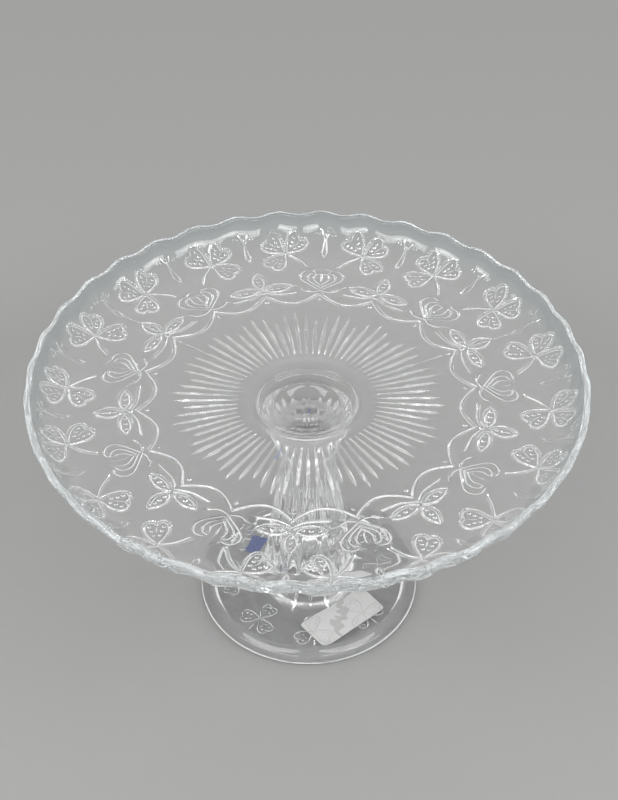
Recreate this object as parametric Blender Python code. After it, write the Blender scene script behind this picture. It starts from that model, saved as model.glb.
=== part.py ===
# Footed cake stand of clear pressed glass.
# A scalloped plate with a small well is fused at the waist to a ribbed pedestal.
# A blank paper label and a blank blue sticker are stuck under the foot.
# Metres, +Z up, origin on the table under the middle of the foot.
import math

import bmesh
import bpy
from mathutils import Matrix, Vector

# Plate
RIM_RADIUS = 0.1485  # outer edge, midway between scallop crest and trough
RIM_HEIGHT = 0.1625  # top of the edge above the table, midway likewise
RIM_RISE = 0.0145  # top of the edge above the plate's floor
RIM_EDGE_RADIUS = 0.0019  # round of the edge, half the rim's thickness
FLOOR_RADIUS = 0.1268  # flat part of the floor, where the rim begins to rise
PLATE_THICKNESS = 0.0045
SCALLOP_COUNT = 36
SCALLOP_REACH = 0.0002  # crest and trough, out and in from the rim radius
SCALLOP_LIFT = 0.0012  # crest and trough, up and down from the rim height
SCALLOP_TURN = math.radians(6.6)  # direction of the first crest from +X

# Well in the plate, and the bowl under it
WELL_DISH_RADIUS = 0.0370  # where the plate's floor begins to dip
WELL_RADIUS = 0.0270  # at the mouth
WELL_MOUTH_DROP = 0.0042  # mouth below the plate's floor
WELL_STEP_RADIUS = 0.0186  # inner edge of the sloping step under the mouth
WELL_STEP_DROP = 0.0078  # that edge below the plate's floor
WELL_FLOOR_RADIUS = 0.0060
WELL_DEPTH = 0.0146
BOWL_FLARE_RADIUS = 0.0360  # where the bowl runs out into the plate's underside
BOWL_RADIUS = 0.0205  # at its belly
BOWL_DROP = 0.0265  # belly below the plate's underside

# Fused joint at the waist
JOINT_RADIUS = 0.0158
JOINT_DROP = 0.0405  # joint below the plate's underside
JOINT_GAP = 0.0003

# Pedestal
RIB_COUNT = 18
RIB_DEPTH = 0.0011  # groove between two ribs
RIB_TURN = math.radians(-88.0)  # direction of the first rib from +X
STEM_LOW_RADIUS = 0.0225
STEM_LOW_HEIGHT = 0.0450
STEM_FLARE_RADIUS = 0.0350  # where the stem has run out onto the foot
FOOT_RADIUS = 0.0630
FOOT_RING_WIDTH = 0.0085  # rounded border round the foot
FOOT_RING_HEIGHT = 0.0080
FOOT_EDGE_HEIGHT = 0.0034  # widest line of the border
FOOT_BASE_WIDTH = 0.0035  # flat ring that rests on the table
FOOT_RECESS = 0.0030  # underside of the disc above the table
FOOT_THICKNESS = 0.0040  # disc, beside the border
FOOT_CROWN = 0.0028  # rise of the disc's top from the border to the stem
HOLLOW_RADIUS = 0.0140  # hollow in the stem, at its mouth
HOLLOW_LIP_RADIUS = 0.0030
HOLLOW_TOP_RADIUS = 0.0060
HOLLOW_HEIGHT = 0.0480  # top of the hollow above the table

# Paper stuck under the foot
PAPER_THICKNESS = 0.0002
PAPER_GAP = 0.0003
LABEL_LENGTH = 0.0453
LABEL_WIDTH = 0.0219
LABEL_CORNER = 0.0020
LABEL_SIDE = math.radians(-57.7)  # direction of its middle from +X
LABEL_TILT = math.radians(97.8)  # its length against that direction
LABEL_BORDER_GAP = 0.0006  # outermost corner to the foot's border
STICKER_LENGTH = 0.0145
STICKER_WIDTH = 0.0105
STICKER_CORNER = 0.0012
STICKER_SIDE = math.radians(143.2)
STICKER_TILT = math.radians(-73.2)
STICKER_BORDER_GAP = 0.0084

# Facets round each scallop, rib and paper corner
SCALLOP_STEPS = 4
RIB_STEPS = 6
CORNER_STEPS = 4

FLOOR_HEIGHT = RIM_HEIGHT - RIM_RISE
UNDERSIDE_HEIGHT = FLOOR_HEIGHT - PLATE_THICKNESS
BOWL_HEIGHT = UNDERSIDE_HEIGHT - BOWL_DROP
JOINT_HEIGHT = UNDERSIDE_HEIGHT - JOINT_DROP
FOOT_DISC_RADIUS = FOOT_RADIUS - FOOT_RING_WIDTH
FOOT_TOP_HEIGHT = FOOT_RECESS + FOOT_THICKNESS


def clear_scene():
    for old in list(bpy.data.objects):
        bpy.data.objects.remove(old, do_unlink=True)


def glass_material(name, colour):
    material = bpy.data.materials.new(name)
    material.use_nodes = True
    shader = material.node_tree.nodes["Principled BSDF"]
    shader.inputs["Base Color"].default_value = (*colour, 1.0)
    shader.inputs["Roughness"].default_value = 0.03
    shader.inputs["Metallic"].default_value = 0.0
    shader.inputs["Transmission Weight"].default_value = 1.0
    shader.inputs["IOR"].default_value = 1.5
    return material


def paper_material(name, colour):
    material = bpy.data.materials.new(name)
    material.use_nodes = True
    shader = material.node_tree.nodes["Principled BSDF"]
    shader.inputs["Base Color"].default_value = (*colour, 1.0)
    shader.inputs["Roughness"].default_value = 0.75
    shader.inputs["Metallic"].default_value = 0.0
    return material


def sweep(start, leave, end, arrive, steps):
    # Smooth run from start to end that leaves and arrives in the given directions.
    # The start itself is not in the list.
    start, end = Vector(start), Vector(end)
    pull = 0.4 * (end - start).length
    near = start + pull * Vector(leave).normalized()
    far = end - pull * Vector(arrive).normalized()
    points = []
    for step in range(1, steps + 1):
        t = step / steps
        s = 1.0 - t
        points.append(s**3 * start + 3 * s * s * t * near + 3 * s * t * t * far + t**3 * end)
    return points


def rising_arc(start, end, steps):
    # Arc that leaves start level and passes through end. Both are in the list.
    across = end[0] - start[0]
    up = end[1] - start[1]
    turn = 2.0 * math.atan2(up, across)
    radius = across / math.sin(turn)
    points = []
    for step in range(steps + 1):
        angle = turn * step / steps
        points.append(Vector((
            start[0] + radius * math.sin(angle),
            start[1] + radius * (1.0 - math.cos(angle)),
        )))
    return points


def edge_round(steps):
    # Half circle over the top of the rim, from its inner to its outer side.
    points = []
    for step in range(1, steps):
        angle = math.pi * (1.0 - step / steps)
        points.append(Vector((
            RIM_RADIUS - RIM_EDGE_RADIUS + RIM_EDGE_RADIUS * math.cos(angle),
            RIM_HEIGHT - RIM_EDGE_RADIUS + RIM_EDGE_RADIUS * math.sin(angle),
        )))
    return points


def plate_outline():
    # From the middle of the well, over the rim and back to the middle of the joint.
    well_height = FLOOR_HEIGHT - WELL_DEPTH
    well_floor = (WELL_FLOOR_RADIUS, well_height)
    step = (WELL_STEP_RADIUS, FLOOR_HEIGHT - WELL_STEP_DROP)
    mouth = (WELL_RADIUS, FLOOR_HEIGHT - WELL_MOUTH_DROP)
    dish = (WELL_DISH_RADIUS, FLOOR_HEIGHT)
    rim_shoulder = RIM_HEIGHT - RIM_EDGE_RADIUS
    inner_edge = (RIM_RADIUS - 2.0 * RIM_EDGE_RADIUS, rim_shoulder)
    outer_edge = (RIM_RADIUS, rim_shoulder)
    flare = (BOWL_FLARE_RADIUS, UNDERSIDE_HEIGHT)
    belly = (BOWL_RADIUS, BOWL_HEIGHT)
    joint = (JOINT_RADIUS, JOINT_HEIGHT + JOINT_GAP / 2.0)
    down = (-0.12, -1.0)
    points = [Vector((0.0, well_height)), Vector(well_floor)]
    points += sweep(well_floor, (1.0, 0.0), step, (1.0, 0.7), 4)
    points.append(Vector(mouth))
    points += sweep(mouth, (1.0, 0.3), dish, (1.0, 0.0), 4)
    points += rising_arc((FLOOR_RADIUS, FLOOR_HEIGHT), inner_edge, 4)
    points += edge_round(4)
    points += reversed(rising_arc((FLOOR_RADIUS, UNDERSIDE_HEIGHT), outer_edge, 4))
    points.append(Vector(flare))
    points += sweep(flare, (-1.0, 0.0), belly, down, 5)
    points += sweep(belly, down, joint, (-0.1, -1.0), 3)
    points.append(Vector((0.0, joint[1])))
    return points


def pedestal_outline():
    # From the middle of the joint, down the stem, round the foot and up the hollow.
    joint = (JOINT_RADIUS, JOINT_HEIGHT - JOINT_GAP / 2.0)
    stem_low = (STEM_LOW_RADIUS, STEM_LOW_HEIGHT)
    crown = (STEM_FLARE_RADIUS, FOOT_TOP_HEIGHT + FOOT_CROWN)
    border = (FOOT_DISC_RADIUS, FOOT_TOP_HEIGHT)
    border_top = (FOOT_RADIUS - FOOT_RING_WIDTH / 2.0, FOOT_RING_HEIGHT)
    edge = (FOOT_RADIUS, FOOT_EDGE_HEIGHT)
    base_out = (FOOT_RADIUS - FOOT_BASE_WIDTH, 0.0)
    base_in = (FOOT_RADIUS - 2.0 * FOOT_BASE_WIDTH, 0.0)
    recess = (FOOT_DISC_RADIUS, FOOT_RECESS)
    hollow_lip = (HOLLOW_RADIUS + HOLLOW_LIP_RADIUS, FOOT_RECESS)
    hollow_mouth = (HOLLOW_RADIUS, FOOT_RECESS + HOLLOW_LIP_RADIUS)
    hollow_top = (HOLLOW_TOP_RADIUS, HOLLOW_HEIGHT)
    down = (0.0, -1.0)
    slant = (0.12, -1.0)
    points = [Vector((0.0, joint[1])), Vector(joint)]
    points += sweep(joint, down, stem_low, slant, 6)
    points += sweep(stem_low, slant, crown, (1.0, -0.15), 5)
    points.append(Vector(border))
    points += sweep(border, (1.0, 1.0), border_top, (1.0, 0.0), 2)
    points += sweep(border_top, (1.0, 0.0), edge, down, 3)
    points += sweep(edge, down, base_out, (-1.0, 0.0), 2)
    points += [Vector(base_in), Vector(recess), Vector(hollow_lip)]
    points += sweep(hollow_lip, (-1.0, 0.0), hollow_mouth, (0.0, 1.0), 2)
    points += sweep(hollow_mouth, (-0.15, 1.0), hollow_top, (-0.25, 1.0), 3)
    points.append(Vector((0.0, HOLLOW_HEIGHT + HOLLOW_TOP_RADIUS / 2.0)))
    return points


def share_between(value, low, high):
    # Smooth share, 0 at low and 1 at high.
    t = min(max((value - low) / (high - low), 0.0), 1.0)
    return t * t * (3.0 - 2.0 * t)


def scallop_shift(radius, height, angle):
    # Out and up at each crest, in and down at each trough, only on the rim.
    wave = math.cos(SCALLOP_COUNT * (angle - SCALLOP_TURN))
    share = share_between(radius, FLOOR_RADIUS, RIM_RADIUS - 2.0 * RIM_EDGE_RADIUS)
    return SCALLOP_REACH * wave * share, SCALLOP_LIFT * wave * share


def rib_shift(radius, height, angle):
    # Grooves between the ribs, from below the joint to the pointed rib ends on the foot.
    # The hollow inside the stem stays round.
    groove = 0.5 - 0.5 * math.cos(RIB_COUNT * (angle - RIB_TURN))
    below_joint = share_between(JOINT_HEIGHT - JOINT_GAP - height, 0.0, RIB_DEPTH)
    on_stem = 1.0 - share_between(radius, STEM_LOW_RADIUS, STEM_FLARE_RADIUS)
    outside = 1.0 if radius >= JOINT_RADIUS else 0.0
    above_foot = share_between(height, FOOT_TOP_HEIGHT, FOOT_TOP_HEIGHT + FOOT_CROWN)
    depth = RIB_DEPTH * groove * below_joint * on_stem * outside * above_foot
    lean = share_between(radius, STEM_LOW_RADIUS, STEM_FLARE_RADIUS)
    return -depth * (1.0 - lean), -depth * lean


def turned_piece(name, outline, segments, first, shift, material):
    # Spins the outline round the Z axis from its first crest or rib, then shapes it.
    bm = bmesh.new()
    spoke = (math.cos(first), math.sin(first))
    verts = [bm.verts.new((point[0] * spoke[0], point[0] * spoke[1], point[1])) for point in outline]
    edges = [bm.edges.new(pair) for pair in zip(verts, verts[1:])]
    bmesh.ops.spin(
        bm,
        geom=verts + edges,
        cent=(0.0, 0.0, 0.0),
        axis=(0.0, 0.0, 1.0),
        angle=2.0 * math.pi,
        steps=segments,
        use_merge=True,
    )
    bmesh.ops.remove_doubles(bm, verts=bm.verts, dist=0.00001)
    for vert in bm.verts:
        radius = math.hypot(vert.co.x, vert.co.y)
        if radius == 0.0:
            continue
        angle = math.atan2(vert.co.y, vert.co.x)
        out, up = shift(radius, vert.co.z, angle)
        stretch = (radius + out) / radius
        vert.co = Vector((vert.co.x * stretch, vert.co.y * stretch, vert.co.z + up))
    return finish_piece(name, bm, material)


def paper_reach(length, width, tilt, border_gap):
    # How far out the paper's middle lies when its outermost corner keeps the border gap.
    limit = FOOT_DISC_RADIUS - border_gap
    reach = limit
    for along in (length / 2.0, -length / 2.0):
        for across in (width / 2.0, -width / 2.0):
            out = along * math.cos(tilt) - across * math.sin(tilt)
            aside = along * math.sin(tilt) + across * math.cos(tilt)
            reach = min(reach, math.sqrt(limit * limit - aside * aside) - out)
    return reach


def paper_piece(name, length, width, corner, side, tilt, border_gap, material):
    # Flat paper with round corners, just under the foot's disc.
    bm = bmesh.new()
    ring = []
    for quarter in range(4):
        middle = Vector((
            (length / 2.0 - corner) * (1 if quarter in (0, 3) else -1),
            (width / 2.0 - corner) * (1 if quarter in (0, 1) else -1),
            0.0,
        ))
        for step in range(CORNER_STEPS + 1):
            angle = math.pi / 2.0 * (quarter + step / CORNER_STEPS)
            spoke = Vector((math.cos(angle), math.sin(angle), 0.0))
            ring.append(bm.verts.new(middle + corner * spoke))
    sheet = bm.faces.new(ring)
    grown = bmesh.ops.extrude_face_region(bm, geom=[sheet])
    top = [item for item in grown["geom"] if isinstance(item, bmesh.types.BMVert)]
    bmesh.ops.translate(bm, verts=top, vec=(0.0, 0.0, PAPER_THICKNESS))
    piece = finish_piece(name, bm, material)
    height = FOOT_RECESS - PAPER_GAP - PAPER_THICKNESS
    reach = paper_reach(length, width, tilt, border_gap)
    place = (reach * math.cos(side), reach * math.sin(side), height)
    piece.matrix_world = Matrix.Translation(place) @ Matrix.Rotation(side + tilt, 4, "Z")
    return piece


def finish_piece(name, bm, material):
    bmesh.ops.recalc_face_normals(bm, faces=bm.faces)
    mesh = bpy.data.meshes.new(name)
    bm.to_mesh(mesh)
    bm.free()
    mesh.shade_smooth()
    mesh.set_sharp_from_angle(angle=math.radians(40.0))
    mesh.materials.append(material)
    piece = bpy.data.objects.new(name, mesh)
    bpy.context.scene.collection.objects.link(piece)
    return piece


def build():
    clear_scene()
    clear_glass = glass_material("plate_glass", (0.93, 0.96, 0.96))
    foot_glass = glass_material("pedestal_glass", (0.94, 0.96, 0.96))
    white_paper = paper_material("label_paper", (0.86, 0.86, 0.85))
    blue_paper = paper_material("sticker_paper", (0.02, 0.12, 0.42))
    turned_piece(
        "plate", plate_outline(), SCALLOP_COUNT * SCALLOP_STEPS, SCALLOP_TURN,
        scallop_shift, clear_glass,
    )
    turned_piece(
        "pedestal", pedestal_outline(), RIB_COUNT * RIB_STEPS, RIB_TURN,
        rib_shift, foot_glass,
    )
    paper_piece(
        "paper_label", LABEL_LENGTH, LABEL_WIDTH, LABEL_CORNER,
        LABEL_SIDE, LABEL_TILT, LABEL_BORDER_GAP, white_paper,
    )
    paper_piece(
        "blue_sticker", STICKER_LENGTH, STICKER_WIDTH, STICKER_CORNER,
        STICKER_SIDE, STICKER_TILT, STICKER_BORDER_GAP, blue_paper,
    )


build()
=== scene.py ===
# Footed cake stand of clear pressed glass: a scalloped plate fused to a ribbed pedestal,
# with a blank paper label and a blank blue sticker stuck under the foot.
import math

import bmesh
import bpy
import numpy as np
from mathutils import Matrix, Vector
from mathutils.geometry import delaunay_2d_cdt


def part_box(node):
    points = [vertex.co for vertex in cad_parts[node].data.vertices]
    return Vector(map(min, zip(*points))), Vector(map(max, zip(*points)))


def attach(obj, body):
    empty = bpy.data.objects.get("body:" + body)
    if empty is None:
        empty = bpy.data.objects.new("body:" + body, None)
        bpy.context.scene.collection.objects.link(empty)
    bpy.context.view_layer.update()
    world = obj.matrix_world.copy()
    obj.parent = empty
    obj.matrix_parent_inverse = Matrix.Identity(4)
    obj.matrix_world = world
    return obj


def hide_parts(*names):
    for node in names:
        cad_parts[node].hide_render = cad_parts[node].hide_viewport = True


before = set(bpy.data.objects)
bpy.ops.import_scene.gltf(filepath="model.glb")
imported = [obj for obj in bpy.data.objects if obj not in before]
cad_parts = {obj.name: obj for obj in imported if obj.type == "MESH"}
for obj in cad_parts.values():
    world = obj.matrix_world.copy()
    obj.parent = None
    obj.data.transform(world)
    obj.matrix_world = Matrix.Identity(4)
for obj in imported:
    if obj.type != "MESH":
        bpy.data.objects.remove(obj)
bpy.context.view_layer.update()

print("frame loaded:", ", ".join(sorted(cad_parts)))

mm = 0.001  # every drawing below is in millimetres
turnSteps = 432  # facets round a turned surface, a whole number for each repeat
hair = 0.01  # slack that keeps edge points on their own side of a test
weldGap = 0.002  # points nearer than this become one


# drawing helpers
def ease(value, low, high):
    t = np.clip((value - low) / (high - low), 0.0, 1.0)
    return t * t * (3.0 - 2.0 * t)


def sweep(start, leave, end, arrive, steps, pull=0.4):
    # soft run from start to end, with the directions it leaves and arrives in; start left out
    start, end = Vector(start), Vector(end)
    reach = pull * (end - start).length
    near = start + reach * Vector(leave).normalized()
    far = end - reach * Vector(arrive).normalized()
    run = []
    for i in range(1, steps + 1):
        t = i / steps
        s = 1.0 - t
        run.append(s**3 * start + 3 * s * s * t * near + 3 * s * t * t * far + t**3 * end)
    return [(p.x, p.y) for p in run]


def rimArc(start, end):
    # arc that leaves start level and passes through end: its radius and turn
    across, up = end[0] - start[0], end[1] - start[1]
    turn = 2.0 * math.atan2(up, across)
    return across / math.sin(turn), turn


def arcPoints(start, end, steps):
    radius, turn = rimArc(start, end)
    angles = [turn * i / steps for i in range(steps + 1)]
    return [(start[0] + radius * math.sin(a), start[1] + radius * (1.0 - math.cos(a))) for a in angles]


def smoothLine(points, step):
    # soft curve through a few points, cut into even steps: places and directions
    knots = np.array(points, float)
    ends = np.vstack([2 * knots[0] - knots[1], knots, 2 * knots[-1] - knots[-2]])
    fine = []
    for a, b, c, d in zip(ends, ends[1:], ends[2:], ends[3:]):
        t = np.linspace(0.0, 1.0, 24, endpoint=False)[:, None]
        fine.append(0.5 * (2 * b + (c - a) * t + (2 * a - 5 * b + 4 * c - d) * t**2
                           + (3 * b - a - 3 * c + d) * t**3))
    fine = np.vstack(fine + [knots[-1:]])
    reach = np.concatenate([[0.0], np.cumsum(np.linalg.norm(np.diff(fine, axis=0), axis=1))])
    count = max(2, int(round(reach[-1] / step)) + 1)
    even = np.linspace(0.0, reach[-1], count)
    line = np.stack([np.interp(even, reach, fine[:, i]) for i in (0, 1)], axis=1)
    along = np.gradient(line, axis=0)
    return line, along / np.linalg.norm(along, axis=1)[:, None]


def turned(points, angle, x=0.0, y=0.0, size=1.0):
    c, s = math.cos(angle), math.sin(angle)
    return [(x + size * (c * u - s * v), y + size * (s * u + c * v)) for u, v in points]


# pressed relief: bumps give the height, points give the mesh
# a bump is its place, its direction, its half length and half width, its height and its two slopes
roofSlopes = (2.0, 1.0)  # a plain ridge falls to both sides like a roof
beadSlopes = (0.0, 0.0)  # no slopes: a round bead
beadPower = 0.65
dotRings = ((0.5, 8), (1.0, 12))  # share of the radius, and points on that ring
meshing = {
    "footRing": 1.14, "footCount": 8,  # points just outside each bump
    "gap": 0.15, "axisGap": 0.2,  # points nearer than this are dropped
    "snap": 0.17,  # points this near an axis move onto it
    "border": 0.35,  # strip without points inside both arcs
    "rungFrom": 1.0, "rungTo": 0.5, "rungStep": 1.5,  # points along the two axes
    "least": 0.02,  # lower relief counts as plain
}


def newRelief():
    return {"bumps": [], "points": []}


ridge = {"step": 0.55, "reach": 2.2, "flank": 0.55, "endHalf": 0.6, "endBack": 0.2}  # reach is in steps


def addRidge(relief, points, half, height):
    # plain ridge along a soft line; half is its half width at both ends
    line, along = smoothLine(points, ridge["step"])
    width = np.linspace(half[0], half[1], len(line))
    side = np.stack([-along[:, 1], along[:, 0]], axis=1)
    reach = ridge["reach"] * ridge["step"]
    for place, way, wide in zip(line, along, width):
        relief["bumps"].append((*place, *way, reach, wide, height, *roofSlopes))
    for offset in (0.0, -ridge["flank"], ridge["flank"], -1.0, 1.0):
        relief["points"].append(line + offset * width[:, None] * side)
    for i, way in ((0, -1.0), (-1, 1.0)):
        foot = line[i] + way * reach * along[i]
        across = ridge["endHalf"] * width[i] * side[i]
        back = foot - ridge["endBack"] * way * along[i]
        relief["points"].append(np.array([foot, back + across, back - across]))


ladder = {
    "foot": 0.22,  # room for the steep ends of the bars
    "railReach": 0.8,  # share of the pitch
    "barNear": 0.11, "barFar": 0.85, "barMiddle": 0.48, "barHalf": 0.37,  # shares of the half width
}


def addLadder(relief, points, half, pitch, railSlope, barSlope, railSide):
    # smooth rail along one side of a soft line, with a close row of short bars beside it
    foot, near, far = ladder["foot"], ladder["barNear"], ladder["barFar"]
    line, along = smoothLine(points, pitch / 2.0)
    width = np.linspace(half[0], half[1], len(line))
    side = railSide * np.stack([-along[:, 1], along[:, 0]], axis=1)
    low = foot - near * width  # where the rail starts
    middle, railHalf = (width + low) / 2.0, (width - low) / 2.0
    rail = line + middle[:, None] * side
    bars = line - ladder["barMiddle"] * width[:, None] * side
    for i in range(len(line)):
        relief["bumps"].append((*rail[i], *along[i], ladder["railReach"] * pitch, railHalf[i],
                                railSlope * railHalf[i], *roofSlopes))
        if i % 2 == 1 and i < len(line) - 1:
            barHalf = ladder["barHalf"] * width[i] + foot
            relief["bumps"].append((*bars[i], *along[i], pitch / 2.0, barHalf, barSlope * pitch / 2.0,
                                    1.0, barHalf / foot))
    for offset in (middle, -far * width, -near * width, low, width, -far * width - foot):
        relief["points"].append(line + offset[:, None] * side)


def addDot(relief, centre, radius, height):
    relief["bumps"].append((*centre, 1.0, 0.0, radius, radius, height, *beadSlopes))
    ring = [np.array([centre])]
    for share, count in dotRings:
        a = np.arange(count) * 2.0 * math.pi / count
        ring.append(np.array(centre) + share * radius * np.stack([np.cos(a), np.sin(a)], axis=1))
    relief["points"].append(np.vstack(ring))


def mirrored(bumps):
    # the same bumps across the axis x = 0
    return bumps * np.array([-1, 1, -1, 1, 1, 1, 1, 1, 1])


def footPoints(bumps):
    # a ring just outside each bump, so that no ridge runs out over the plain surface
    count, ring = meshing["footCount"], meshing["footRing"]
    ways = [(math.cos(a), math.sin(a)) for a in np.arange(count) * 2.0 * math.pi / count]
    places = []
    for x, y, ax, ay, length, width, *_ in bumps:
        for u, v in ways:
            a, b = ring * length * u, ring * width * v
            places.append((x + a * ax - b * ay, y + a * ay + b * ax))
    return np.array(places)


def reliefHeight(points, bumps):
    best = np.zeros(len(points))
    for x, y, ax, ay, length, width, height, slopeA, slopeB in bumps:
        dx, dy = points[:, 0] - x, points[:, 1] - y
        a = np.abs(dx * ax + dy * ay) / length
        b = np.abs(dy * ax - dx * ay) / width
        if slopeA:
            form = np.minimum(np.minimum(slopeA * (1.0 - a), slopeB * (1.0 - b)), 1.0)
        else:
            form = 1.0 - (a * a + b * b) ** beadPower
        best = np.maximum(best, height * form)
    return best


def thinned(points, fixed, gap):
    # drops each point that lies too near one already kept
    cells = {}
    kept = []
    for number, (x, y) in enumerate(points):
        cell = (int(x // gap), int(y // gap))
        near = [q for i in (-1, 0, 1) for j in (-1, 0, 1)
                for q in cells.get((cell[0] + i, cell[1] + j), ())]
        if number >= fixed and any((x - u) ** 2 + (y - v) ** 2 < gap * gap for u, v in near):
            continue
        cells.setdefault(cell, []).append((x, y))
        kept.append((x, y))
    return kept


def reliefPatch(relief, halfAngle, inner, outer, steps, extra):
    # half of one repeat, from the axis x = 0 to the axis at halfAngle, as points, heights and triangles
    c, s = math.cos(halfAngle), math.sin(halfAngle)
    snap, border = meshing["snap"], meshing["border"]
    # bumps of the neighbours across both axes count too
    bumps = np.array(relief["bumps"])
    left = mirrored(bumps)
    right = bumps.copy()
    for i in (0, 2):
        over = bumps[:, i] * c - bumps[:, i + 1] * s
        right[:, i] -= 2.0 * over * c
        right[:, i + 1] += 2.0 * over * s
    bumps = np.vstack([bumps, left, right])
    feet = footPoints(relief["bumps"])
    feet = feet[reliefHeight(feet, bumps) <= 0.0]
    loose = np.vstack(relief["points"] + [extra, feet])
    past = loose[:, 0] * c - loose[:, 1] * s  # distance past the second axis
    radius = np.linalg.norm(loose, axis=1)
    loose[np.abs(loose[:, 0]) < snap, 0] = 0.0
    onAxis = np.abs(past) < snap
    loose[onAxis] -= past[onAxis, None] * np.array([[c, -s]])
    past[onAxis] = 0.0
    between = (radius > inner + border) & (radius < outer - border)
    inside = (loose[:, 0] >= 0.0) & (past <= 0.0) & between
    loose, past = loose[inside], past[inside]

    turns = np.linspace(0.0, halfAngle, steps + 1)
    arcIn = [(inner * math.sin(a), inner * math.cos(a)) for a in turns]
    arcOut = [(outer * math.sin(a), outer * math.cos(a)) for a in turns[::-1]]
    rungs = np.arange(inner + meshing["rungFrom"], outer - meshing["rungTo"], meshing["rungStep"])
    first = [(0.0, y) for y in loose[loose[:, 0] == 0.0, 1]]
    first += [(0.0, y) for y in rungs]
    second = [tuple(p) for p in loose[past == 0.0]]
    second += [(y * s, y * c) for y in rungs]
    first = sorted(thinned(first, 0, meshing["axisGap"]), key=lambda p: math.hypot(*p))
    second = sorted(thinned(second, 0, meshing["axisGap"]), key=lambda p: math.hypot(*p))
    loop = arcIn + second + arcOut + first[::-1]
    free = [tuple(p) for p in loose[(loose[:, 0] > 0.0) & (past < 0.0)]]
    points = thinned(loop + free, len(loop), meshing["gap"])

    edges = [(i, (i + 1) % len(loop)) for i in range(len(loop))]
    verts, _, tris, *_ = delaunay_2d_cdt([Vector(p) for p in points], edges, [], 1, 1e-6)
    verts = np.array([tuple(v) for v in verts])
    verts[np.abs(verts[:, 0]) < 1e-5, 0] = 0.0
    height = reliefHeight(verts, bumps)
    height[height < meshing["least"]] = 0.0
    return verts, height, np.array(tris)


# solid builder: turned surfaces and relief patches, welded into one closed skin
def newSkin():
    return {"verts": [], "faces": [], "raised": [], "slots": [], "count": 0}


def addBlock(skin, verts, faces, raised=None, slot=0):
    base = skin["count"]
    skin["verts"].append(np.asarray(verts, float))
    skin["faces"] += [tuple(base + i for i in face) for face in faces]
    skin["raised"] += list(raised) if raised is not None else [False] * len(faces)
    skin["slots"] += [slot] * len(faces)
    skin["count"] += len(verts)


def addTurned(skin, outline, firstAngle):
    angles = firstAngle + np.arange(turnSteps) * 2.0 * math.pi / turnSteps
    verts = [(r * math.cos(a), r * math.sin(a), z) for r, z in outline for a in angles]
    faces = []
    for ring in range(len(outline) - 1):
        for i in range(turnSteps):
            j = (i + 1) % turnSteps
            faces.append((ring * turnSteps + i, ring * turnSteps + j,
                          (ring + 1) * turnSteps + j, (ring + 1) * turnSteps + i))
    addBlock(skin, verts, faces)


def addDisc(skin, radius, height, firstAngle, slot=0):
    angles = firstAngle + np.arange(turnSteps) * 2.0 * math.pi / turnSteps
    verts = [(radius * math.cos(a), radius * math.sin(a), height) for a in angles] + [(0.0, 0.0, height)]
    faces = [(i, (i + 1) % turnSteps, turnSteps) for i in range(turnSteps)]
    addBlock(skin, verts, faces, slot=slot)


def addRelief(skin, patch, firstAngle, repeats, surface, seamEvery=0, seamHeight=0.0):
    # surface gives, for each radius, the height of the plain surface and its outward normal
    flat, height, tris = patch
    radius = np.linalg.norm(flat, axis=1)
    swing = np.arctan2(flat[:, 0], flat[:, 1])
    baseZ, normalR, normalZ = surface(radius)
    for k in range(repeats):
        lift = height
        if seamEvery and k % seamEvery == 0:
            onSeam = (flat[:, 0] == 0.0) & (radius > radius.min() + hair) & (radius < radius.max() - hair)
            lift = np.where(onSeam, np.maximum(height, seamHeight), height)
        raised = (lift[tris] > 0.0).any(axis=1)
        r = radius + lift * normalR
        z = baseZ + lift * normalZ
        for way in (1.0, -1.0):
            angle = firstAngle + k * 2.0 * math.pi / repeats + way * swing
            verts = np.stack([r * np.cos(angle), r * np.sin(angle), z], axis=1)
            addBlock(skin, verts, tris.tolist(), raised)


def buildPiece(name, skin, shape, materials):
    verts = shape(np.vstack(skin["verts"])) * mm
    mesh = bpy.data.meshes.new(name)
    mesh.from_pydata(verts.tolist(), [], skin["faces"])
    bm = bmesh.new()
    bm.from_mesh(mesh)
    bm.faces.ensure_lookup_table()
    mark = bm.faces.layers.int.new("raised")
    for face, raised, slot in zip(bm.faces, skin["raised"], skin["slots"]):
        face[mark] = int(raised)
        face.material_index = slot
        face.smooth = not raised
    bmesh.ops.remove_doubles(bm, verts=bm.verts, dist=weldGap * mm)
    bmesh.ops.recalc_face_normals(bm, faces=bm.faces)
    for edge in bm.edges:
        # crisp foot line where relief leaves the plain surface, and round the joint
        kinds = {(face[mark], face.material_index) for face in edge.link_faces}
        edge.smooth = len(kinds) == 1
    bm.faces.layers.int.remove(mark)
    bm.to_mesh(mesh)
    openEdges = sum(not e.is_manifold for e in bm.edges)
    bm.free()
    for material in materials:
        mesh.materials.append(material)
    piece = bpy.data.objects.new(name, mesh)
    bpy.context.scene.collection.objects.link(piece)
    print(f"{name}: {len(mesh.vertices)} points, {len(mesh.polygons)} faces, {openEdges} open edges")
    return piece


# materials
def newMaterial(name):
    material = bpy.data.materials.new(name)
    material.use_nodes = True
    nodes, links = material.node_tree.nodes, material.node_tree.links
    return material, nodes, links, nodes["Principled BSDF"]


glass = {
    "clear": (0.985, 0.990, 0.990),
    "edge": (0.86, 0.93, 0.945),  # blue-grey where the glass is thick, at the rim
    "edgeFrom": 0.136,
    "edgeTo": 0.149,
    "roughLow": 0.0,
    "roughHigh": 0.025,
    "ripple": 0.05,
    "rippleScale": 55.0,
    "rippleDepth": 0.002,
    "hazeScale": 38.0,
    "hazeFrom": 0.45,
    "hazeTo": 0.75,
    "lightBend": 1.5,  # index of refraction
}


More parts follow.
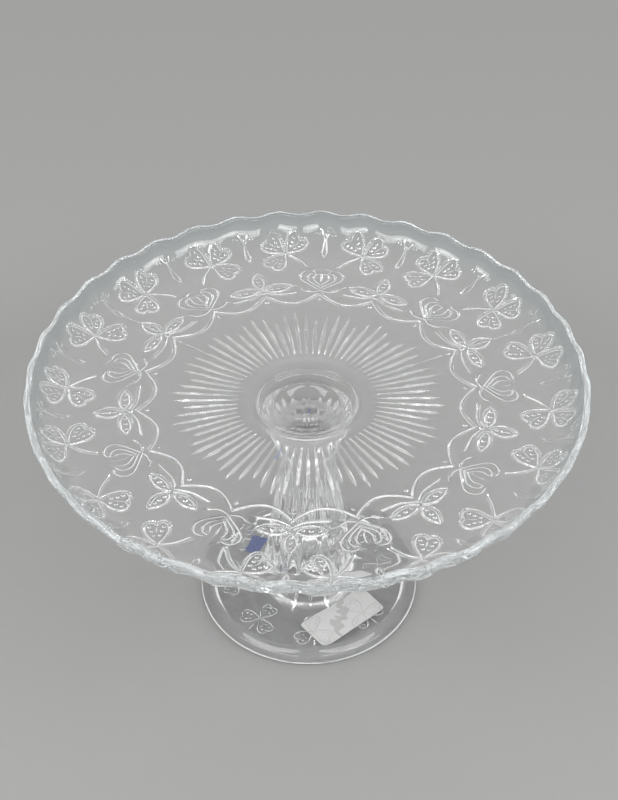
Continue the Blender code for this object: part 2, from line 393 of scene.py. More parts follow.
def pressedGlass(name, tinted):
    material, nodes, links, shader = newMaterial(name)
    shader.inputs["Transmission Weight"].default_value = 1.0
    shader.inputs["IOR"].default_value = glass["lightBend"]
    shader.inputs["Base Color"].default_value = (*glass["clear"], 1.0)
    place = nodes.new("ShaderNodeTexCoord")
    if tinted:
        flat = nodes.new("ShaderNodeVectorMath")
        flat.operation = "MULTIPLY"
        flat.inputs[1].default_value = (1.0, 1.0, 0.0)
        far = nodes.new("ShaderNodeVectorMath")
        far.operation = "LENGTH"
        ramp = nodes.new("ShaderNodeMapRange")
        ramp.inputs["From Min"].default_value = glass["edgeFrom"]
        ramp.inputs["From Max"].default_value = glass["edgeTo"]
        tint = nodes.new("ShaderNodeMix")
        tint.data_type = "RGBA"
        tint.inputs["A"].default_value = (*glass["clear"], 1.0)
        tint.inputs["B"].default_value = (*glass["edge"], 1.0)
        links.new(place.outputs["Object"], flat.inputs[0])
        links.new(flat.outputs["Vector"], far.inputs[0])
        links.new(far.outputs["Value"], ramp.inputs["Value"])
        links.new(ramp.outputs["Result"], tint.inputs["Factor"])
        links.new(tint.outputs["Result"], shader.inputs["Base Color"])
    smear = nodes.new("ShaderNodeTexNoise")  # handling haze
    smear.inputs["Scale"].default_value = glass["hazeScale"]
    smear.inputs["Detail"].default_value = 4.0
    haze = nodes.new("ShaderNodeMapRange")
    haze.inputs["From Min"].default_value = glass["hazeFrom"]
    haze.inputs["From Max"].default_value = glass["hazeTo"]
    haze.inputs["To Min"].default_value = glass["roughLow"]
    haze.inputs["To Max"].default_value = glass["roughHigh"]
    links.new(place.outputs["Object"], smear.inputs["Vector"])
    links.new(smear.outputs["Fac"], haze.inputs["Value"])
    links.new(haze.outputs["Result"], shader.inputs["Roughness"])
    wave = nodes.new("ShaderNodeTexNoise")  # chill ripple of the press mould
    wave.inputs["Scale"].default_value = glass["rippleScale"]
    wave.inputs["Detail"].default_value = 1.0
    bump = nodes.new("ShaderNodeBump")
    bump.inputs["Strength"].default_value = glass["ripple"]
    bump.inputs["Distance"].default_value = glass["rippleDepth"]
    links.new(place.outputs["Object"], wave.inputs["Vector"])
    links.new(wave.outputs["Fac"], bump.inputs["Height"])
    links.new(bump.outputs["Normal"], shader.inputs["Normal"])
    return material


def fusedGlass():
    # inside the fused waist there is no surface, so light goes straight on
    material, nodes, links, shader = newMaterial("fused joint")
    clear = nodes.new("ShaderNodeBsdfTransparent")
    links.new(clear.outputs["BSDF"], nodes["Material Output"].inputs["Surface"])
    nodes.remove(shader)
    return material


plateGlass = pressedGlass("pressed glass, plate", True)
pedestalGlass = pressedGlass("pressed glass, pedestal", False)
jointGlass = fusedGlass()

# fused waist, the same on both pieces
joint = {"radius": 15.8, "height": 103.0}

# plate
plate = {
    "rimRadius": 148.45, "rimHeight": 162.5, "edgeRadius": 1.9,
    "floorRadius": 126.8, "floorHeight": 148.0, "thickness": 4.5,
    "scallops": 36, "scallopTurn": math.radians(6.6), "scallopReach": 0.1, "scallopLift": 1.2,
    "wellFloor": [(2.0, 133.42), (8.0, 133.9), (12.5, 135.6), (16.2, 138.6), (17.6, 140.0)],
    "wellLip": (18.5, 141.2), "wellStep": [(19.5, 140.7), (24.4, 142.2)],  # sloping step inside the mouth
    "wellBead": [(25.0, 143.9), (25.8, 145.0), (26.6, 144.2)],
    "wellDish": [(27.6, 144.4), (29.6, 145.7), (33.0, 147.4), (37.0, 148.0)],
    "bowlFlare": 36.0, "bowlRadius": 20.5, "bowlDrop": 26.5,
    "ribFade": (122.0, 138.0), "bowlClear": 0.1, "floorRings": (60.0, 95.0, 120.0),
    "repeats": 9, "firstAxis": math.radians(-94.7), "seamEvery": 3, "seamHeight": 0.13,
    "reliefInner": 36.6, "reliefOuter": 145.0,
    "seamBeside": 0.45, "seamStep": 1.5, "rimStep": 1.3, "rimColumns": 37,  # mesh points under the plate
}
ornament = {
    "pitch": 1.2, "line": 1.1, "railSlope": 0.78, "barSlope": 0.90,  # rails with their bars
    "dot": 0.92, "dotHeight": 0.70,
    "vein": 0.70, "veinHeight": 0.55,  # plain ridges of the lotus
    "notch": 0.4, "notchHeight": 0.3,  # short ridge in each heart leaf
}
sector = math.pi / plate["repeats"]  # half of one repeat


def ribbed(relief, points, railSide, half=None):
    half = half or (ornament["line"], ornament["line"])
    addLadder(relief, points, half, ornament["pitch"], ornament["railSlope"], ornament["barSlope"],
              railSide)


def plain(relief, points, half=None):
    half = half or (ornament["vein"], ornament["vein"])
    addRidge(relief, points, half, ornament["veinHeight"])


def dots(relief, places, size=1.0):
    for place in places:
        addDot(relief, place, size * ornament["dot"], size * ornament["dotHeight"])


def drawTrefoil(relief):
    # on the first axis: one leaf outward, one to the side, and an arm under it
    leaf = [(0.0, 98.5), (2.3, 101.0), (3.6, 105.3), (2.5, 109.6), (0.0, 113.3)]
    ribbed(relief, leaf, 1.0)
    dots(relief, [(0.0, 102.3), (0.0, 108.7)])
    dots(relief, [(0.0, 105.7)], 1.2)
    for bulge in (3.1, -3.1):
        side = [(1.0, 97.5), (5.2, 97.3 + 0.78 * bulge), (9.6, 97.1 + bulge),
                (13.9, 96.9 + 0.74 * bulge), (17.7, 96.8)]
        ribbed(relief, side, -1.0 if bulge > 0.0 else 1.0)
    dots(relief, [(5.5, 96.9), (13.6, 96.8)])
    dots(relief, [(9.6, 97.0)], 1.2)
    dots(relief, [(0.0, 94.3)], 1.5)
    ribbed(relief, [(1.3, 94.1), (8.0, 90.7), (19.0, 89.2)], -1.0, (0.85, 1.15))


swag = {"low": 82.0, "rise": 9.0, "steps": 12, "dotAt": 85.4}


def drawSwag(relief):
    places = []
    for i in range(swag["steps"] + 1):
        t = i / swag["steps"]
        a, r = sector * t, swag["low"] + swag["rise"] * (2.0 * t - 1.0) ** 2
        places.append((r * math.sin(a), r * math.cos(a)))
    ribbed(relief, places, -1.0)
    for a in (0.0, sector):
        dots(relief, [(swag["dotAt"] * math.sin(a), swag["dotAt"] * math.cos(a))], 1.1)


def drawLotus(relief):
    # half a lotus beside the second axis, plain ridges
    def put(points, half=None):
        plain(relief, turned(points, -sector), half)
    put([(0.0, 94.4), (-9.85, 102.1), (-12.4, 106.2), (-11.65, 110.0), (-8.9, 112.2), (-5.9, 112.2)])
    put([(0.0, 96.9), (-5.2, 101.0), (-7.4, 103.7), (-8.0, 106.7), (-6.8, 109.3), (-4.8, 110.3)])
    put([(0.0, 99.0), (-3.4, 103.0), (-4.4, 105.5), (-3.95, 108.2)])
    put([(0.0, 103.3), (0.0, 108.3)], (0.5, 0.7))
    put([(0.0, 94.4), (-4.0, 92.8), (-7.6, 93.0), (-10.3, 94.5)], (0.7, 1.0))


heart = [(1.0, 0.7), (5.0, 3.6), (8.6, 5.7), (12.0, 6.5),
         (15.0, 5.9), (16.5, 3.7), (16.2, 1.5), (15.0, 0.0)]
heartDots = [(12.9, 3.7), (10.2, 2.5), (7.2, 1.5)]


def heartLeaf(relief, centre, angle, size):
    for side in (1.0, -1.0):
        ribbed(relief, turned([(u, side * v) for u, v in heart], angle, *centre, size), -side)
        dots(relief, turned([(u, side * v) for u, v in heartDots], angle, *centre, size))
    addRidge(relief, turned([(9.5, 0.0), (12.5, 0.0)], angle, *centre, size),
             (ornament["notch"], ornament["notch"]), ornament["notchHeight"])


def drawClover(relief):
    centre = (22.5, 127.7)
    for angle, size in ((222.0, 1.0), (127.0, 0.93), (38.0, 0.93)):
        heartLeaf(relief, centre, math.radians(angle), size)
    ribbed(relief, [centre, (28.0, 119.7), (30.9, 111.9)], 1.0, (0.85, 1.2))
    dots(relief, [centre], 1.2)


def drawDrops(relief):
    # slim drop with a sprout of two blades on both axes, up the rim
    for way in (0.0, sector):
        side = 1.0 if way == 0.0 else -1.0
        def put(points):
            return turned([(side * u, v) for u, v in points], -way)
        plain(relief, put([(0.0, 126.9), (1.35, 129.3), (0.95, 134.5), (0.0, 141.6)]), (0.6, 0.5))
        plain(relief, put([(0.5, 139.8), (2.5, 143.4)]), (0.4, 0.6))
        dots(relief, put([(3.9, 141.8), (5.6, 142.2)]), 0.75)


rays = {
    "pitch": 1.4, "half": 1.05, "slope": 0.73, "end": 0.25, "start": 38.0,
    "tips": (66.0, 70.8, 73.6, 70.8, 66.0),
    "root": 0.32, "swell": 0.68, "swellTo": 1.3, "swellPower": 0.8,  # half width along the ray
    "taper": 0.75, "taperFrom": 0.86, "taperTo": 1.02, "leastHalf": 0.4,
}


def drawRays(relief):
    # five slim rays with crossbars, one every five degrees
    for i, tip in enumerate(rays["tips"]):
        a = sector * i / 4.0
        count = 2 * int((tip - rays["start"]) / rays["pitch"])
        reach = (tip - rays["start"]) / count
        along = np.array((math.sin(a), math.cos(a)))
        side = np.array((along[1], -along[0]))
        for j in range(count + 1):
            t = j / count
            r = rays["start"] + t * (tip - rays["start"])
            bulge = math.sin(math.pi * min(t / rays["swellTo"], 1.0)) ** rays["swellPower"]
            half = rays["half"] * (rays["root"] + rays["swell"] * bulge)
            taper = rays["taper"] * float(ease(t, rays["taperFrom"], rays["taperTo"]))
            half = max(half * (1.0 - taper), rays["leastHalf"])
            if j % 2 == 1:
                relief["bumps"].append((*(r * along), *along, reach, half, rays["slope"] * reach,
                                        1.0, half / rays["end"]))
            full = half - rays["end"]
            places = [r * along + offset * side for offset in (0.0, full, -full, half, -half)]
            relief["points"].append(np.array(places))


def plateRelief():
    relief = newRelief()
    for draw in (drawTrefoil, drawSwag, drawLotus, drawClover, drawDrops, drawRays):
        draw(relief)
    # even points on the rising rim, and a line beside the axis for the mould seam
    seam = np.arange(plate["reliefInner"] + 1.0, plate["reliefOuter"] - 1.0, plate["seamStep"])
    extra = [(plate["seamBeside"], r) for r in seam]
    columns = np.linspace(0.0, sector, plate["rimColumns"])
    for r in np.arange(plate["floorRadius"], plate["reliefOuter"], plate["rimStep"]):
        extra += [(r * math.sin(a), r * math.cos(a)) for a in columns]
    return reliefPatch(relief, sector, plate["reliefInner"], plate["reliefOuter"],
                       turnSteps // (2 * plate["repeats"]), np.array(extra))


underside = plate["floorHeight"] - plate["thickness"]
rimShoulder = plate["rimHeight"] - plate["edgeRadius"]


def undersideAt(radius):
    # flat, then rising along the rim's arc
    bend, _ = rimArc((plate["floorRadius"], underside), (plate["rimRadius"], rimShoulder))
    sine = np.clip(radius - plate["floorRadius"], 0.0, None) / bend
    cosine = np.sqrt(1.0 - sine**2)
    return underside + bend * (1.0 - cosine), sine, -cosine


ribs = {"count": 18, "turn": math.radians(-88.0), "depth": 0.8}  # on the stem and up its bowl


def ribPhase(angle):
    # number of the nearest rib, and the way to it: 0 on the rib, 0.5 in a valley
    phase = (angle - ribs["turn"]) * ribs["count"] / (2.0 * math.pi)
    nearest = np.round(phase)
    return nearest.astype(int), np.abs(phase - nearest)


def plateShape(verts):
    # scallops round the rim, and ribs that run up from the stem and fade out under the plate
    radius = np.hypot(verts[:, 0], verts[:, 1])
    angle = np.arctan2(verts[:, 1], verts[:, 0])
    onBowl = (radius >= joint["radius"] - hair) & (verts[:, 2] < underside - plate["bowlClear"])
    valley = np.sin(math.pi * ribPhase(angle)[1]) ** 2 * onBowl
    cut = ribs["depth"] * valley * (1.0 - ease(verts[:, 2], *plate["ribFade"]))
    wave = np.cos(plate["scallops"] * (angle - plate["scallopTurn"]))
    wave = wave * ease(radius, plate["floorRadius"], plate["rimRadius"] - 2.0 * plate["edgeRadius"])
    stretch = 1.0 + (plate["scallopReach"] * wave - cut) / np.maximum(radius, 1.0)
    return np.stack([verts[:, 0] * stretch, verts[:, 1] * stretch,
                     verts[:, 2] + plate["scallopLift"] * wave], axis=1)


def plateTop():
    well = smoothLine(plate["wellFloor"], 1.2)[0].tolist()
    lip, step, bead, dish = plate["wellLip"], plate["wellStep"], plate["wellBead"], plate["wellDish"]
    well += sweep(well[-1], (1.0, 1.0), lip, (1.0, 0.0), 4) + sweep(lip, (1.0, 0.0), step[0], (1.0, 0.2), 4)
    well += step[1:]
    well += smoothLine(step[1:] + bead + dish, 0.45)[0].tolist()[1:]
    return [tuple(p) for p in well] + [(r, plate["floorHeight"]) for r in plate["floorRings"]]


def plateRim():
    inner = (plate["rimRadius"] - 2.0 * plate["edgeRadius"], rimShoulder)
    outline = arcPoints((plate["floorRadius"], plate["floorHeight"]), inner, 12)
    for i in range(1, 10):
        a = math.pi * (1.0 - i / 10.0)
        outline.append((plate["rimRadius"] + plate["edgeRadius"] * (math.cos(a) - 1.0),
                        rimShoulder + plate["edgeRadius"] * math.sin(a)))
    down = np.linspace(plate["rimRadius"], plate["reliefOuter"], 6)
    heights = undersideAt(down)[0]
    return outline + list(zip(down, heights))


def plateBowl():
    flare = (plate["bowlFlare"], underside)
    belly = (plate["bowlRadius"], underside - plate["bowlDrop"])
    waist = (joint["radius"], joint["height"])
    bellyWay = (-0.12, -1.0)
    outline = [(plate["reliefInner"], underside), flare]
    outline += sweep(flare, (-1.0, 0.0), belly, bellyWay, 14)
    outline += sweep(belly, bellyWay, waist, (-0.1, -1.0), 8)
    return outline


def makePlate():
    skin = newSkin()
    first = plate["firstAxis"]
    top = plateTop()
    addDisc(skin, *top[0], first)
    addTurned(skin, top + plateRim(), first)
    addRelief(skin, plateRelief(), first, plate["repeats"], undersideAt,
              plate["seamEvery"], plate["seamHeight"])
    addTurned(skin, plateBowl(), first)
    addDisc(skin, joint["radius"], joint["height"], first, slot=1)
    return buildPiece("pressed_plate", skin, plateShape, [plateGlass, jointGlass])


platePiece = makePlate()

# pedestal
pedestal = {
    # each rib narrows to a slim petal raised on the foot; tips of six ribs, then again
    "petalFrom": 22.6, "petalNeck": 24.4, "petalSlim": 0.17, "petalRise": 2.2,
    "petalPoint": 0.6, "petalFall": 0.3,  # powers: how soon a petal narrows and sinks towards its tip
    "petalTips": (27.5, 33.5, 25.4, 27.5, 25.4, 33.5),
    "stemLow": (22.5, 45.0), "crown": (35.0, 9.8), "border": (54.5, 7.0),
    "footRadius": 63.0, "borderTop": 8.0, "edgeHeight": 3.4, "baseWidth": 3.5,
    "recess": 3.0, "hollow": 16.2, "hollowLip": 0.8, "hollowTop": (5.0, 42.0),
    "hollowDome": 3.0, "hollowTurn": 1.35,
    "repeats": 8, "firstAxis": math.radians(-86.8), "reliefInner": 20.0, "reliefOuter": 53.4,
    "reliefHeight": 0.34, "dotHeight": 0.46, "slopeRings": (38.0, 44.0, 50.0, 53.5),
}
footSector = math.pi / pedestal["repeats"]


def ribbedStem(verts):
    # rounded ribs, each ending in a slim petal on the foot
    radius = np.hypot(verts[:, 0], verts[:, 1])
    angle = np.arctan2(verts[:, 1], verts[:, 0])
    nearest, phase = ribPhase(angle)
    tips = np.array(pedestal["petalTips"])
    tip = tips[nearest % len(tips)]
    neck = ease(radius, pedestal["petalFrom"], pedestal["petalNeck"])
    left = np.clip((tip - radius) / (tip - pedestal["petalNeck"]), 1e-4, 1.0)
    half = (0.5 - (0.5 - pedestal["petalSlim"]) * neck) * left ** pedestal["petalPoint"]
    away = np.clip(phase / half, 0.0, 1.0)
    rib = (1.0 - neck) * np.cos(0.5 * math.pi * away) ** 2 + neck * (1.0 - away**2)
    onStem = (radius >= joint["radius"] - hair) & (verts[:, 2] > pedestal["border"][1])
    petal = neck * pedestal["petalRise"] * rib * left ** pedestal["petalFall"]
    depth = ((1.0 - neck) * ribs["depth"] * (1.0 - rib) - petal) * onStem
    lean = ease(radius, pedestal["stemLow"][0], pedestal["crown"][0])
    stretch = 1.0 - depth * (1.0 - lean) / np.maximum(radius, 1.0)
    return np.stack([verts[:, 0] * stretch, verts[:, 1] * stretch, verts[:, 2] - depth * lean], axis=1)


def pedestalOutside():
    waist = (joint["radius"], joint["height"])
    lowWay = (0.12, -1.0)
    low, crown, border = pedestal["stemLow"], pedestal["crown"], pedestal["border"]
    foot, wide = pedestal["footRadius"], pedestal["footRadius"] - border[0]
    top = (foot - wide / 2.0, pedestal["borderTop"])
    edge = (foot, pedestal["edgeHeight"])
    outline = [waist] + sweep(waist, (0.0, -1.0), low, lowWay, 22)
    outline += sweep(low, lowWay, crown, (1.0, -0.15), 24)
    outline += [(r, crown[1] + (border[1] - crown[1]) * (r - crown[0]) / (border[0] - crown[0]))
                for r in pedestal["slopeRings"]]
    outline += [border] + sweep(border, (1.0, 1.0), top, (1.0, 0.0), 6)
    outline += sweep(top, (1.0, 0.0), edge, (0.0, -1.0), 9)
    outline += sweep(edge, (0.0, -1.0), (foot - pedestal["baseWidth"], 0.0), (-1.0, 0.0), 6)
    outline += [(foot - 2.0 * pedestal["baseWidth"], 0.0), (border[0], pedestal["recess"]),
                (pedestal["reliefOuter"], pedestal["recess"])]
    return outline


def pedestalHollow():
    lip = (pedestal["hollow"] + pedestal["hollowLip"], pedestal["recess"])
    mouth = (pedestal["hollow"], pedestal["recess"] + pedestal["hollowLip"])
    top = pedestal["hollowTop"]
    outline = [(pedestal["reliefInner"], pedestal["recess"]), lip]
    outline += sweep(lip, (-1.0, 0.0), mouth, (0.0, 1.0), 6)
    outline += sweep(mouth, (-0.15, 1.0), top, (-0.25, 1.0), 14)
    for a in np.linspace(0.0, pedestal["hollowTurn"], 6)[1:]:
        outline.append((top[0] * math.cos(a), top[1] + pedestal["hollowDome"] * math.sin(a)))
    return outline


footClover = {
    "centre": (0.0, 41.5), "size": 0.66, "line": 0.5, "leaves": (-90.0, 28.0),
    "leafDots": [(12.4, 3.3), (8.8, 2.3)], "leafDot": 0.62, "middleDot": 0.85,
    "dash": [(0.0, 48.5), (0.0, 51.8)],
    "plainPoint": (1.0, 30.0),  # one mesh point on the bare part of the foot
}


def drawFoot():
    # a small clover on each axis, drawn with thin plain lines, and a short dash outside it
    relief = newRelief()
    centre, size = footClover["centre"], footClover["size"]

    def thin(points):
        addRidge(relief, points, (footClover["line"], footClover["line"]), pedestal["reliefHeight"])

    for angle in footClover["leaves"]:
        way = math.radians(angle)
        for side in (1.0, -1.0):
            thin(turned([(u, side * v) for u, v in heart], way, *centre, size))
            leafDots = [(u, side * v) for u, v in footClover["leafDots"]]
            for place in turned(leafDots, way, *centre, size):
                addDot(relief, place, footClover["leafDot"], pedestal["dotHeight"])
    thin(footClover["dash"])
    addDot(relief, centre, footClover["middleDot"], pedestal["dotHeight"])
    return relief


footDrawing = drawFoot()


def footRelief():
    return reliefPatch(footDrawing, footSector, pedestal["reliefInner"], pedestal["reliefOuter"],
                       turnSteps // (2 * pedestal["repeats"]), np.array([footClover["plainPoint"]]))


def footUnderside(radius):
    level = np.full(len(radius), pedestal["recess"])
    return level, np.zeros(len(radius)), -np.ones(len(radius))


def makePedestal():
    skin = newSkin()
    first = pedestal["firstAxis"]
    addDisc(skin, joint["radius"], joint["height"], first, slot=1)
    addTurned(skin, pedestalOutside(), first)
    addRelief(skin, footRelief(), first, pedestal["repeats"], footUnderside)
    hollow = pedestalHollow()
    addTurned(skin, hollow, first)
    addDisc(skin, *hollow[-1], first)
    return buildPiece("ribbed_pedestal", skin, ribbedStem, [pedestalGlass, jointGlass])


pedestalPiece = makePedestal()

# paper under the foot
label = {
    "node": "paper_label", "length": 45.3, "width": 21.9, "corner": 2.0, "turn": math.radians(40.1),
    # patch colour: used for the unwetted band and for the painted shade along the foot's relief lines
    "colour": (0.95, 0.95, 0.94), "patch": (0.70, 0.70, 0.69), "patchAt": 0.0179, "patchHalf": 0.0018,
}
sticker = {
    "node": "blue_sticker", "length": 14.5, "width": 10.5, "corner": 1.2, "turn": math.radians(70.0),
    # patch colour: used for the unwetted band and for the painted shade along the foot's relief lines
    "colour": (0.003, 0.055, 0.34), "patch": (0.010, 0.075, 0.38), "patchAt": -0.0290, "patchHalf": 0.0008,
}
paper = {
    "thickness": 0.2, "step": 0.3, "glue": 0.08, "soften": 0.95,  # the glue wets the glass
    # the next line also sets how strongly painted shade darkens the paper along the foot's relief lines
    "wobble": 0.0040, "wobbleScale": 150.0, "patchSoft": 0.0008, "paintedReliefShade": 0.7,
    "follow": 0.85,  # share of the relief that the sheet follows
    "fibreScale": 2400.0, "fibreBump": 0.25, "fibreDepth": 0.0001, "roughLow": 0.55, "roughHigh": 0.8,
}


def paperMaterial(name, values):
    material, nodes, links, shader = newMaterial(name)
    place = nodes.new("ShaderNodeTexCoord")
    wave = nodes.new("ShaderNodeTexNoise")  # a wavy band where the glue has not wetted the glass
    wave.inputs["Scale"].default_value = paper["wobbleScale"]
    wave.inputs["Detail"].default_value = 1.0
    wobble = nodes.new("ShaderNodeMapRange")
    wobble.inputs["From Min"].default_value = 0.3
    wobble.inputs["From Max"].default_value = 0.7
    wobble.inputs["To Min"].default_value = -paper["wobble"] - values["patchAt"]
    wobble.inputs["To Max"].default_value = paper["wobble"] - values["patchAt"]
    axes = nodes.new("ShaderNodeSeparateXYZ")
    shifted = nodes.new("ShaderNodeMath")
    away = nodes.new("ShaderNodeMath")
    away.operation = "ABSOLUTE"
    band = nodes.new("ShaderNodeMapRange")
    band.inputs["From Min"].default_value = values["patchHalf"] + paper["patchSoft"]
    band.inputs["From Max"].default_value = values["patchHalf"]
    pressed = nodes.new("ShaderNodeAttribute")  # painted shade along the foot's relief lines under the paper
    pressed.attribute_name = "pressed"
    either = nodes.new("ShaderNodeMath")
    either.operation = "MAXIMUM"
    # the paper turns to the patch colour in the unwetted band and in the painted shade along the relief
    # lines
    tint = nodes.new("ShaderNodeMix")
    tint.data_type = "RGBA"
    tint.inputs["A"].default_value = (*values["colour"], 1.0)
    tint.inputs["B"].default_value = (*values["patch"], 1.0)
    fibre = nodes.new("ShaderNodeTexNoise")
    fibre.inputs["Scale"].default_value = paper["fibreScale"]
    fibre.inputs["Detail"].default_value = 3.0
    bump = nodes.new("ShaderNodeBump")
    bump.inputs["Strength"].default_value = paper["fibreBump"]
    bump.inputs["Distance"].default_value = paper["fibreDepth"]
    rough = nodes.new("ShaderNodeMapRange")
    rough.inputs["To Min"].default_value = paper["roughLow"]
    rough.inputs["To Max"].default_value = paper["roughHigh"]
    links.new(place.outputs["Object"], wave.inputs["Vector"])
    links.new(place.outputs["Object"], axes.inputs["Vector"])
    links.new(wave.outputs["Fac"], wobble.inputs["Value"])
    links.new(axes.outputs["X"], shifted.inputs[0])
    links.new(wobble.outputs["Result"], shifted.inputs[1])
    links.new(shifted.outputs["Value"], away.inputs[0])
    links.new(away.outputs["Value"], band.inputs["Value"])
    links.new(band.outputs["Result"], either.inputs[0])
    links.new(pressed.outputs["Fac"], either.inputs[1])
    links.new(place.outputs["Object"], fibre.inputs["Vector"])
    links.new(either.outputs["Value"], tint.inputs["Factor"])
    links.new(tint.outputs["Result"], shader.inputs["Base Color"])
    links.new(fibre.outputs["Fac"], bump.inputs["Height"])
    links.new(bump.outputs["Normal"], shader.inputs["Normal"])
    links.new(fibre.outputs["Fac"], rough.inputs["Value"])
    links.new(rough.outputs["Result"], shader.inputs["Roughness"])
    return material


def pressedDown(x, y):
    # how far the foot's relief pushes the paper down at these places
    radius = np.hypot(x, y)
    swing = np.mod(np.arctan2(y, x) - pedestal["firstAxis"], 2.0 * footSector)
    swing = np.minimum(swing, 2.0 * footSector - swing)
    places = np.stack([radius * np.sin(swing), radius * np.cos(swing)], axis=1)
    wide = np.array([1, 1, 1, 1, paper["soften"], paper["soften"], 1, 1, 1])
    bumps = np.array(footDrawing["bumps"]) * wide
    return reliefHeight(places, np.vstack([bumps, mirrored(bumps)]))


def makePaper(name, values, material):
    # thin sheet with round corners in the place of its solid, pressed over the foot's relief
    low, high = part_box(values["node"])
    middleX, middleY = (low[0] + high[0]) / 2.0 / mm, (low[1] + high[1]) / 2.0 / mm
    halfLength, halfWidth, corner = values["length"] / 2.0, values["width"] / 2.0, values["corner"]
    across = int(values["width"] / paper["step"])
    along = int(values["length"] / paper["step"])
    v = np.linspace(-halfWidth, halfWidth, across + 1)
    past = np.clip(np.abs(v) - (halfWidth - corner), 0.0, corner)
    reach = halfLength - corner + np.sqrt(corner**2 - past**2)
    flatX = np.linspace(-1.0, 1.0, along + 1)[None, :] * reach[:, None]
    flatY = np.repeat(v[:, None], along + 1, axis=1)
    c, s = math.cos(values["turn"]), math.sin(values["turn"])
    x = (middleX + c * flatX - s * flatY).ravel()
    y = (middleY + s * flatX + c * flatY).ravel()
    down = pressedDown(x, y)
    top = pedestal["recess"] + paper["glue"] - paper["follow"] * down
    under = top - paper["thickness"]
    verts = np.vstack([np.stack([x, y, top], axis=1), np.stack([x, y, under], axis=1)])
    row, sheet = along + 1, len(x)
    faces = []
    for j in range(across):
        for i in range(along):
            a = j * row + i
            faces.append((a, a + 1, a + row + 1, a + row))
            faces.append((sheet + a, sheet + a + row, sheet + a + row + 1, sheet + a + 1))
    border = (list(range(along)) + [j * row + along for j in range(across)]
              + [across * row + i for i in range(along, 0, -1)] + [j * row for j in range(across, 0, -1)])
    for a, b in zip(border, border[1:] + border[:1]):
        faces.append((b, a, sheet + a, sheet + b))
    mesh = bpy.data.meshes.new(name)
    mesh.from_pydata((verts * mm).tolist(), [], faces)
    # painted shade along the foot's relief lines: the paper colour is darkened where the relief presses the
    # sheet, kept in the attribute named pressed
    paintedShade = paper["paintedReliefShade"] * np.clip(down / pedestal["reliefHeight"], 0.0, 1.0)
    mesh.attributes.new("pressed", "FLOAT", "POINT").data.foreach_set("value", np.tile(paintedShade, 2))
    mesh.shade_smooth()
    mesh.set_sharp_from_angle(angle=math.radians(60.0))
    mesh.materials.append(material)
    piece = bpy.data.objects.new(name, mesh)
    bpy.context.scene.collection.objects.link(piece)
    print(f"{name}: {len(mesh.polygons)} faces")
    return piece


labelPiece = makePaper("label_sheet", label, paperMaterial("white label paper", label))
stickerPiece = makePaper("sticker_sheet", sticker, paperMaterial("blue sticker paper", sticker))

pieces = [
    (platePiece, "plate", "plate_glass"),
    (pedestalPiece, "pedestal", "pedestal_glass"),
    (labelPiece, label["node"], "label_paper"),
    (stickerPiece, sticker["node"], "sticker_paper"),
]
for piece, node, slot in pieces:
    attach(piece, "root")
    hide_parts(node)
print("pieces set on the frame")

# studio: plain floor, even walls under a brighter ceiling, two soft boxes, camera
studio = {
    "floor": (0.31, 0.31, 0.306), "floorSize": 8.0, "floorDrop": 0.0002, "floorRough": 0.9,
    "walls": 0.50, "ceiling": 0.92, "wallTop": 0.10, "ceilingFrom": 0.32,
    "aim": (0.0, 0.0, 0.12),  # where the soft boxes point
}
softBoxes = [
    {"name": "left soft box", "place": (-0.72, -0.72, 1.05), "size": (1.3, 0.32), "power": 7.0},
    {"name": "right soft box", "place": (0.72, -0.72, 1.05), "size": (1.3, 0.32), "power": 7.0},
]
view = {"place": (0.0009, -0.6767, 0.7495), "tilt": 48.22, "roll": -0.42, "lens": 76.5}

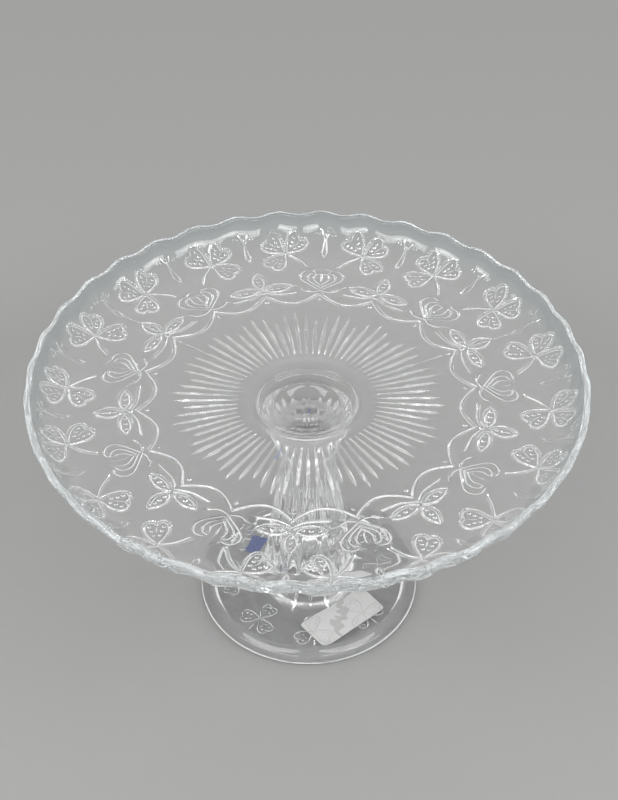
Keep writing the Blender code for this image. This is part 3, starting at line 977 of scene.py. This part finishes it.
floorMesh = bpy.data.meshes.new("studio floor")
halfFloor = studio["floorSize"] / 2.0
level = -studio["floorDrop"]  # just under the foot, so that the two surfaces stay apart
corners = [(u * halfFloor, v * halfFloor, level) for u, v in ((-1, -1), (1, -1), (1, 1), (-1, 1))]
floorMesh.from_pydata(corners, [], [(0, 1, 2, 3)])
floor = bpy.data.objects.new("studio floor", floorMesh)
bpy.context.scene.collection.objects.link(floor)
floorMaterial, _, _, floorShader = newMaterial("pale floor")
floorShader.inputs["Base Color"].default_value = (*studio["floor"], 1.0)
floorShader.inputs["Roughness"].default_value = studio["floorRough"]
floorMesh.materials.append(floorMaterial)

for box in softBoxes:
    lamp = bpy.data.lights.new(box["name"], "AREA")
    lamp.shape = "RECTANGLE"
    lamp.size, lamp.size_y = box["size"]
    lamp.energy = box["power"]
    lampObject = bpy.data.objects.new(box["name"], lamp)
    lampObject.location = box["place"]
    aim = Vector(studio["aim"]) - Vector(box["place"])
    lampObject.rotation_euler = aim.to_track_quat("-Z", "Y").to_euler()
    bpy.context.scene.collection.objects.link(lampObject)

world = bpy.data.worlds.new("studio")
bpy.context.scene.world = world
world.use_nodes = True
skyNodes, skyLinks = world.node_tree.nodes, world.node_tree.links
direction = skyNodes.new("ShaderNodeTexCoord")
axes = skyNodes.new("ShaderNodeSeparateXYZ")
glow = skyNodes.new("ShaderNodeMapRange")
glow.interpolation_type = "SMOOTHSTEP"
glow.inputs["From Min"].default_value = studio["wallTop"]
glow.inputs["From Max"].default_value = studio["ceilingFrom"]
glow.inputs["To Min"].default_value = studio["walls"]
glow.inputs["To Max"].default_value = studio["ceiling"]
skyLinks.new(direction.outputs["Generated"], axes.inputs["Vector"])
skyLinks.new(axes.outputs["Z"], glow.inputs["Value"])
skyLinks.new(glow.outputs["Result"], skyNodes["Background"].inputs["Strength"])
skyNodes["Background"].inputs["Color"].default_value = (1.0, 1.0, 1.0, 1.0)

camera = bpy.data.objects.new("camera", bpy.data.cameras.new("camera"))
camera.data.lens = view["lens"]
tilt = Matrix.Rotation(math.radians(view["tilt"]), 4, "X")
roll = Matrix.Rotation(math.radians(view["roll"]), 4, "Z")
camera.matrix_world = Matrix.Translation(view["place"]) @ tilt @ roll
bpy.context.scene.collection.objects.link(camera)
bpy.context.scene.camera = camera
bpy.context.scene.view_settings.view_transform = "Standard"
bpy.context.scene.cycles.max_bounces = 24
bpy.context.scene.cycles.diffuse_bounces = 10
bpy.context.scene.cycles.transmission_bounces = 24
bpy.context.scene.cycles.glossy_bounces = 24
print("studio ready")
